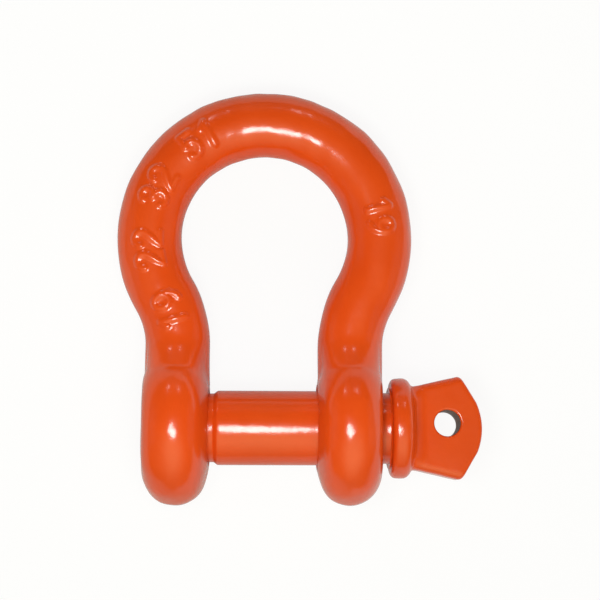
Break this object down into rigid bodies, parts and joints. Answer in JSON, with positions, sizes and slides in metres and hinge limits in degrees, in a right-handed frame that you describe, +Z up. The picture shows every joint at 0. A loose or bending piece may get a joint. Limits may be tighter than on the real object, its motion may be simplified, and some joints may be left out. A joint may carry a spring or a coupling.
{
  "type": "screw pin bow shackle",
  "caption": "Forged bow shackle with round eyes, closed by a screw pin with a collar and a flat cross-drilled head; joins chain, rope or fittings; painted orange.",
  "frame": {"origin": "on the pin's axis, midway between the spot faces of the eyes", "axes": "+X along the pin toward its head, +Y toward the crown of the bow, +Z up from the surface that the shackle lies on"},
  "size_m": [0.1094, 0.1237, 0.046],
  "materials": {
    "bow_paint": "gloss paint over forged steel",
    "pin_paint": "gloss paint over forged steel"
  },
  "bodies": {
    "bow": {"bow_body": "bow_paint"},
    "pin": {"screw_pin": "pin_paint"}
  },
  "joints": [
    {"name": "pin_slide", "type": "slide", "parent": "bow", "child": "pin", "axis": [1, 0, 0], "range_m": [-0.0013, 0.085]}
  ]
}
